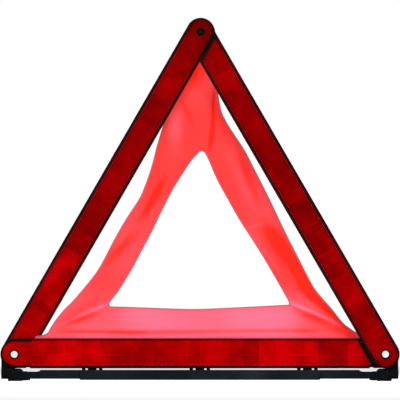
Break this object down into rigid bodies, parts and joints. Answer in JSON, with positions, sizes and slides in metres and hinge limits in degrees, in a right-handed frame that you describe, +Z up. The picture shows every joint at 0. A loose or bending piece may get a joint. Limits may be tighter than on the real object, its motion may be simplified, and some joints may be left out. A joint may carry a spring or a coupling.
{
  "type": "folding warning triangle",
  "caption": "Folding roadside warning triangle: reflective arms hinged on a bottom bar, fluorescent fabric panel, weighted rail and swing-out legs.",
  "frame": {"origin": "on the ground, below the middle of the bottom bar", "axes": "+X to the viewer's right, -Y out of the reflecting front, +Z up"},
  "size_m": [0.4454, 0.396, 0.4054],
  "materials": {
    "black_abs": "moulded, fine grain",
    "red_reflector": "clear gloss over moulded prisms",
    "fluorescent_red": "thin woven polyester, fluorescent",
    "nickel": "nickel plated, satin",
    "black_steel": "satin powder coat",
    "ballast_steel": "plain mill finish",
    "black_screw": "black zinc",
    "black_rubber": "matte"
  },
  "bodies": {
    "base": {"bottom_bar_tray": "black_abs", "bottom_bar_reflector": "red_reflector", "fabric_clamp_strip": "black_abs", "clamp_rivets": "nickel", "fluorescent_fabric": "fluorescent_red", "left_corner_bracket": "black_abs", "right_corner_bracket": "black_abs", "left_pivot_rivet": "nickel", "right_pivot_rivet": "nickel", "left_pivot_spacer": "black_abs", "right_pivot_spacer": "black_abs", "left_rail_pin": "black_screw", "right_rail_pin": "black_screw", "base_rail": "black_steel", "ballast_bar": "ballast_steel", "ballast_cover": "black_steel", "cover_screws": "black_screw", "rail_clip_left": "black_abs", "rail_clip_middle": "black_abs", "rail_clip_right": "black_abs", "leg_pivot_rivets": "black_screw", "leg_spring_washers": "black_screw"},
    "left_arm": {"left_arm_tray": "black_abs", "left_arm_reflector": "red_reflector", "apex_socket_bush": "black_abs"},
    "right_arm": {"right_arm_tray": "black_abs", "right_arm_reflector": "red_reflector", "apex_snap_strap": "black_abs", "strap_rivets": "nickel", "fabric_peg_cap": "black_abs"},
    "front_left_leg": {"front_left_leg": "black_steel", "front_left_foot": "black_rubber"},
    "rear_left_leg": {"rear_left_leg": "black_steel", "rear_left_foot": "black_rubber"},
    "front_right_leg": {"front_right_leg": "black_steel", "front_right_foot": "black_rubber"},
    "rear_right_leg": {"rear_right_leg": "black_steel", "rear_right_foot": "black_rubber"}
  },
  "joints": [
    {"name": "left_arm_fold", "type": "hinge", "parent": "base", "child": "left_arm", "pos_m": [-0.2069, 0.0074, 0.0295], "axis": [0, 0.9999, 0.0119], "range_deg": [0, 60], "deforming": ["fluorescent_fabric"]},
    {"name": "right_arm_fold", "type": "hinge", "parent": "base", "child": "right_arm", "pos_m": [0.2069, -0.0074, 0.0295], "axis": [0, -0.9999, 0.0119], "range_deg": [0, 60], "deforming": ["apex_snap_strap", "fabric_peg_cap"]},
    {"name": "front_left_leg_swing", "type": "hinge", "parent": "base", "child": "front_left_leg", "pos_m": [-0.2013, -0.018, 0.0046], "axis": [0, 0, 1], "range_deg": [0, 90]},
    {"name": "rear_left_leg_swing", "type": "hinge", "parent": "base", "child": "rear_left_leg", "pos_m": [-0.2013, 0.018, 0.0046], "axis": [0, 0, -1], "range_deg": [0, 90]},
    {"name": "front_right_leg_swing", "type": "hinge", "parent": "base", "child": "front_right_leg", "pos_m": [0.2013, -0.018, 0.0046], "axis": [0, 0, -1], "range_deg": [0, 90]},
    {"name": "rear_right_leg_swing", "type": "hinge", "parent": "base", "child": "rear_right_leg", "pos_m": [0.2013, 0.018, 0.0046], "axis": [0, 0, 1], "range_deg": [0, 90]}
  ],
  "couplings": [
    {"joint": "right_arm_fold", "follows": "left_arm_fold", "ratio": 1}
  ]
}
